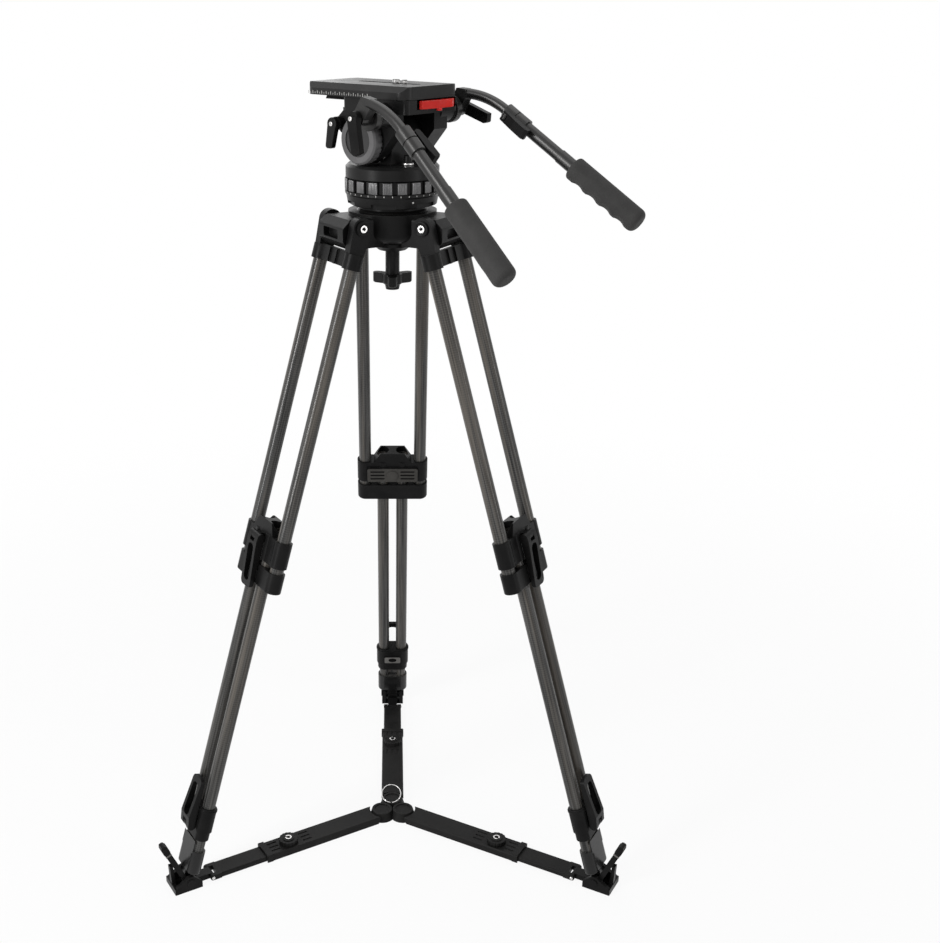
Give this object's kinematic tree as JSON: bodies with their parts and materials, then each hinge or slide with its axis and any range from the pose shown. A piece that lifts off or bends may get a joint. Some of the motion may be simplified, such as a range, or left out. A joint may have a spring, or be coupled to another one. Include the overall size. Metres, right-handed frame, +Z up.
{
  "type": "video tripod with fluid head",
  "caption": "Fluid video head with two pan bars and a sliding camera plate on a twin-tube carbon tripod with a ground spreader.",
  "frame": {"origin": "on the ground at the tripod axis, the centre of the spreader hub", "axes": "+Z up, +Y along the back leg, +X to the right seen from the front"},
  "size_m": [0.7062, 0.7099, 1.1751],
  "materials": {
    "casting": "satin black",
    "carbon": "satin carbon weave",
    "anodised": "dark anodised",
    "steel": "bright",
    "plastic": "matte",
    "rubber": "matte",
    "red": "satin red",
    "dial": "satin grey",
    "plate": "black anodised"
  },
  "bodies": {
    "crown": {"crown": "casting", "leg_hinge_pins": "steel"},
    "clamp_cup": {"clamp_cup": "casting"},
    "levelling_base": {"levelling_base": "casting"},
    "tie_down_knob": {"tie_down_knob": "plastic"},
    "pan_drag_ring": {"pan_drag_ring": "casting"},
    "head_body": {"head_body": "casting"},
    "pan_brake_knob": {"pan_brake_knob": "plastic"},
    "tilt_platform": {"tilt_platform": "casting"},
    "tilt_drag_dial": {"tilt_drag_dial": "dial"},
    "tilt_brake_lever": {"tilt_brake_lever": "plastic"},
    "camera_plate": {"camera_plate": "plate"},
    "plate_lock_lever": {"plate_lock_lever": "red"},
    "far_handle_arm": {"far_handle_arm": "anodised"},
    "far_wing_screw": {"far_wing_screw": "plastic"},
    "far_clamp_lever": {"far_clamp_lever": "plastic"},
    "far_bar": {"far_pan_bar_tube": "carbon", "far_pan_bar_grip": "rubber"},
    "near_handle_arm": {"near_handle_arm": "anodised"},
    "near_wing_screw": {"near_wing_screw": "plastic"},
    "near_clamp_lever": {"near_clamp_lever": "plastic"},
    "near_bar": {"near_pan_bar_tube": "carbon", "near_pan_bar_grip": "rubber"},
    "back_upper": {"back_leg_castings": "casting", "back_upper_tubes": "carbon"},
    "back_mid": {"back_mid_tubes": "carbon", "back_lower_clamp": "casting"},
    "back_lower": {"back_lower_leg": "anodised"},
    "back_shoe": {"back_foot_shoe": "plastic", "back_outer_arm": "anodised"},
    "back_upper_clamp_lever": {"back_upper_clamp_lever": "plastic"},
    "back_lower_clamp_lever": {"back_lower_clamp_lever": "plastic"},
    "back_foot_latch": {"back_foot_latch": "plastic"},
    "back_inner_arm": {"back_inner_arm": "anodised"},
    "back_spreader_knob": {"back_spreader_knob": "plastic"},
    "left_upper": {"left_leg_castings": "casting", "left_upper_tubes": "carbon"},
    "left_mid": {"left_mid_tubes": "carbon", "left_lower_clamp": "casting"},
    "left_lower": {"left_lower_leg": "anodised"},
    "left_shoe": {"left_foot_shoe": "plastic", "left_outer_arm": "anodised"},
    "left_upper_clamp_lever": {"left_upper_clamp_lever": "plastic"},
    "left_lower_clamp_lever": {"left_lower_clamp_lever": "plastic"},
    "left_foot_latch": {"left_foot_latch": "plastic"},
    "left_inner_arm": {"left_inner_arm": "anodised"},
    "left_spreader_knob": {"left_spreader_knob": "plastic"},
    "right_upper": {"right_leg_castings": "casting", "right_upper_tubes": "carbon"},
    "right_mid": {"right_mid_tubes": "carbon", "right_lower_clamp": "casting"},
    "right_lower": {"right_lower_leg": "anodised"},
    "right_shoe": {"right_foot_shoe": "plastic", "right_outer_arm": "anodised"},
    "right_upper_clamp_lever": {"right_upper_clamp_lever": "plastic"},
    "right_lower_clamp_lever": {"right_lower_clamp_lever": "plastic"},
    "right_foot_latch": {"right_foot_latch": "plastic"},
    "right_inner_arm": {"right_inner_arm": "anodised"},
    "right_spreader_knob": {"right_spreader_knob": "plastic"},
    "spreader_hub": {"spreader_hub": "plastic"}
  },
  "joints": [
    {"name": "level_sideways", "type": "hinge", "parent": "crown", "child": "clamp_cup", "pos_m": [0, 0, 1.00106], "axis": [1, 0, 0], "range_deg": [-5, 5]},
    {"name": "level_fore_aft", "type": "hinge", "parent": "clamp_cup", "child": "levelling_base", "pos_m": [0, 0, 1.00106], "axis": [0, 1, 0], "range_deg": [-5, 5]},
    {"name": "tie_down_turn", "type": "hinge", "parent": "levelling_base", "child": "tie_down_knob", "pos_m": [0, 0, 0.92106], "axis": [0, 0, 1], "continuous": true},
    {"name": "pan_drag_set", "type": "hinge", "parent": "levelling_base", "child": "pan_drag_ring", "pos_m": [0, 0, 1.03706], "axis": [0, 0, 1], "range_deg": [0, 252]},
    {"name": "pan", "type": "hinge", "parent": "levelling_base", "child": "head_body", "pos_m": [0, 0, 1.05606], "axis": [0, 0, 1], "continuous": true},
    {"name": "pan_brake_turn", "type": "hinge", "parent": "head_body", "child": "pan_brake_knob", "pos_m": [0.02081, -0.03219, 1.07106], "axis": [0, 0, 1], "range_deg": [0, 180]},
    {"name": "tilt", "type": "hinge", "parent": "head_body", "child": "tilt_platform", "pos_m": [-0.00297, 0.00268, 1.09906], "axis": [0.6691, 0.7431, 0], "range_deg": [-50, 50]},
    {"name": "tilt_drag_set", "type": "hinge", "parent": "tilt_platform", "child": "tilt_drag_dial", "pos_m": [-0.04178, -0.04043, 1.09906], "axis": [0.6691, 0.7431, 0], "range_deg": [0, 240]},
    {"name": "tilt_brake_turn", "type": "hinge", "parent": "tilt_platform", "child": "tilt_brake_lever", "pos_m": [-0.08058, -0.01626, 1.11806], "axis": [0.6691, 0.7431, 0], "range_deg": [0, 50]},
    {"name": "plate_slide", "type": "slide", "parent": "tilt_platform", "child": "camera_plate", "axis": [0.7431, -0.6691, 0], "range_m": [-0.02, 0.03]},
    {"name": "plate_lock_turn", "type": "hinge", "parent": "tilt_platform", "child": "plate_lock_lever", "pos_m": [0.07447, -0.01592, 1.14606], "axis": [0, 0, 1], "range_deg": [0, 45]},
    {"name": "far_rosette", "type": "hinge", "parent": "tilt_platform", "child": "far_handle_arm", "pos_m": [0.07612, 0.03373, 1.13306], "axis": [-0.6691, -0.7431, 0], "range_deg": [-30, 60]},
    {"name": "far_wing_turn", "type": "hinge", "parent": "far_handle_arm", "child": "far_wing_screw", "pos_m": [0.0895, 0.04859, 1.13306], "axis": [-0.6691, -0.7431, 0], "range_deg": [-70, 10]},
    {"name": "far_bar_extend", "type": "slide", "parent": "far_handle_arm", "child": "far_bar", "axis": [0.6824, -0.4958, -0.5371], "range_m": [0, 0.08]},
    {"name": "far_clamp_open", "type": "hinge", "parent": "far_bar", "child": "far_clamp_lever", "pos_m": [0.15246, -0.01508, 1.12824], "axis": [-0.4346, 0.3157, -0.8435], "range_deg": [0, 90]},
    {"name": "near_rosette", "type": "hinge", "parent": "tilt_platform", "child": "near_handle_arm", "pos_m": [-0.02559, -0.07923, 1.13306], "axis": [-0.6691, -0.7431, 0], "range_deg": [-30, 60]},
    {"name": "near_wing_turn", "type": "hinge", "parent": "near_handle_arm", "child": "near_wing_screw", "pos_m": [-0.03897, -0.09409, 1.13306], "axis": [-0.6691, -0.7431, 0], "range_deg": [-60, 20]},
    {"name": "near_bar_extend", "type": "slide", "parent": "near_handle_arm", "child": "near_bar", "axis": [0.5028, -0.5714, -0.6487], "range_m": [0, 0.08]},
    {"name": "near_clamp_open", "type": "hinge", "parent": "near_bar", "child": "near_clamp_lever", "pos_m": [0.02979, -0.14901, 1.11585], "axis": [0.4428, -0.4742, 0.7609], "range_deg": [0, 90]},
    {"name": "back_leg_spread", "type": "hinge", "parent": "crown", "child": "back_upper", "pos_m": [0, 0.075, 0.98716], "axis": [1, 0, 0], "range_deg": [-4, 3.4]},
    {"name": "back_upper_clamp_open", "type": "hinge", "parent": "back_upper", "child": "back_upper_clamp_lever", "pos_m": [0, 0.2253, 0.553], "axis": [1, 0, 0], "range_deg": [0, 90]},
    {"name": "back_mid_slide", "type": "slide", "parent": "back_upper", "child": "back_mid", "axis": [0, -0.2857, 0.9583], "range_m": [0, 0.305]},
    {"name": "back_lower_clamp_open", "type": "hinge", "parent": "back_mid", "child": "back_lower_clamp_lever", "pos_m": [0, 0.35709, 0.10915], "axis": [-1, 0, 0], "range_deg": [0, 90]},
    {"name": "back_lower_slide", "type": "slide", "parent": "back_mid", "child": "back_lower", "axis": [0, 0.2857, -0.9583], "range_m": [0, 0.34]},
    {"name": "back_shoe_level", "type": "hinge", "parent": "back_lower", "child": "back_shoe", "pos_m": [0, 0.36526, 0.0135], "axis": [1, 0, 0], "range_deg": [-4.5, 5]},
    {"name": "back_latch_turn", "type": "hinge", "parent": "back_shoe", "child": "back_foot_latch", "pos_m": [0, 0.36526, 0.0135], "axis": [-1, 0, 0], "range_deg": [0, 35]},
    {"name": "back_arm_slide", "type": "slide", "parent": "back_shoe", "child": "back_inner_arm", "axis": [0, -1, 0], "range_m": [-0.069, 0.059]},
    {"name": "back_arm_lock", "type": "hinge", "parent": "back_inner_arm", "child": "back_spreader_knob", "pos_m": [0, 0.192, 0.015], "axis": [0, 0, 1], "range_deg": [0, 270]},
    {"name": "left_leg_spread", "type": "hinge", "parent": "crown", "child": "left_upper", "pos_m": [-0.06495, -0.0375, 0.98716], "axis": [-0.5, 0.866, 0], "range_deg": [-4.5, 4]},
    {"name": "left_upper_clamp_open", "type": "hinge", "parent": "left_upper", "child": "left_upper_clamp_lever", "pos_m": [-0.19511, -0.11265, 0.553], "axis": [-0.5, 0.866, 0], "range_deg": [0, 90]},
    {"name": "left_mid_slide", "type": "slide", "parent": "left_upper", "child": "left_mid", "axis": [0.2474, 0.1428, 0.9583], "range_m": [0, 0.305]},
    {"name": "left_lower_clamp_open", "type": "hinge", "parent": "left_mid", "child": "left_lower_clamp_lever", "pos_m": [-0.30925, -0.17855, 0.10915], "axis": [0.5, -0.866, 0], "range_deg": [0, 90]},
    {"name": "left_lower_slide", "type": "slide", "parent": "left_mid", "child": "left_lower", "axis": [-0.2474, -0.1428, -0.9583], "range_m": [0, 0.34]},
    {"name": "left_shoe_level", "type": "hinge", "parent": "left_lower", "child": "left_shoe", "pos_m": [-0.31632, -0.18263, 0.0135], "axis": [-0.5, 0.866, 0], "range_deg": [-4.5, 5]},
    {"name": "left_latch_turn", "type": "hinge", "parent": "left_shoe", "child": "left_foot_latch", "pos_m": [-0.31632, -0.18263, 0.0135], "axis": [0.5, -0.866, 0], "range_deg": [0, 35]},
    {"name": "left_arm_slide", "type": "slide", "parent": "left_shoe", "child": "left_inner_arm", "axis": [0.866, 0.5, 0], "range_m": [-0.069, 0.059]},
    {"name": "left_arm_lock", "type": "hinge", "parent": "left_inner_arm", "child": "left_spreader_knob", "pos_m": [-0.16628, -0.096, 0.015], "axis": [0, 0, 1], "range_deg": [0, 270]},
    {"name": "right_leg_spread", "type": "hinge", "parent": "crown", "child": "right_upper", "pos_m": [0.06495, -0.0375, 0.98716], "axis": [-0.5, -0.866, 0], "range_deg": [-4.5, 4]},
    {"name": "right_upper_clamp_open", "type": "hinge", "parent": "right_upper", "child": "right_upper_clamp_lever", "pos_m": [0.19511, -0.11265, 0.553], "axis": [-0.5, -0.866, 0], "range_deg": [0, 90]},
    {"name": "right_mid_slide", "type": "slide", "parent": "right_upper", "child": "right_mid", "axis": [-0.2474, 0.1428, 0.9583], "range_m": [0, 0.305]},
    {"name": "right_lower_clamp_open", "type": "hinge", "parent": "right_mid", "child": "right_lower_clamp_lever", "pos_m": [0.30925, -0.17855, 0.10915], "axis": [0.5, 0.866, 0], "range_deg": [0, 90]},
    {"name": "right_lower_slide", "type": "slide", "parent": "right_mid", "child": "right_lower", "axis": [0.2474, -0.1428, -0.9583], "range_m": [0, 0.34]},
    {"name": "right_shoe_level", "type": "hinge", "parent": "right_lower", "child": "right_shoe", "pos_m": [0.31632, -0.18263, 0.0135], "axis": [-0.5, -0.866, 0], "range_deg": [-4.5, 5]},
    {"name": "right_latch_turn", "type": "hinge", "parent": "right_shoe", "child": "right_foot_latch", "pos_m": [0.31632, -0.18263, 0.0135], "axis": [0.5, 0.866, 0], "range_deg": [0, 35]},
    {"name": "right_arm_slide", "type": "slide", "parent": "right_shoe", "child": "right_inner_arm", "axis": [-0.866, 0.5, 0], "range_m": [-0.069, 0.059]},
    {"name": "right_arm_lock", "type": "hinge", "parent": "right_inner_arm", "child": "right_spreader_knob", "pos_m": [0.16628, -0.096, 0.015], "axis": [0, 0, 1], "range_deg": [0, 270]},
    {"name": "hub_lift", "type": "slide", "parent": "crown", "child": "spreader_hub", "axis": [0, 0, 1], "range_m": [-0.021, 0.018]}
  ],
  "couplings": [
    {"joint": "back_shoe_level", "follows": "back_leg_spread", "ratio": -1},
    {"joint": "back_arm_slide", "follows": "back_leg_spread", "m_per_rad": 0.978},
    {"joint": "left_leg_spread", "follows": "back_leg_spread", "ratio": 1},
    {"joint": "left_shoe_level", "follows": "back_leg_spread", "ratio": -1},
    {"joint": "left_arm_slide", "follows": "back_leg_spread", "m_per_rad": 0.978},
    {"joint": "right_leg_spread", "follows": "back_leg_spread", "ratio": 1},
    {"joint": "right_shoe_level", "follows": "back_leg_spread", "ratio": -1},
    {"joint": "right_arm_slide", "follows": "back_leg_spread", "m_per_rad": 0.978},
    {"joint": "hub_lift", "follows": "back_leg_spread", "m_per_rad": 0.288}
  ]
}
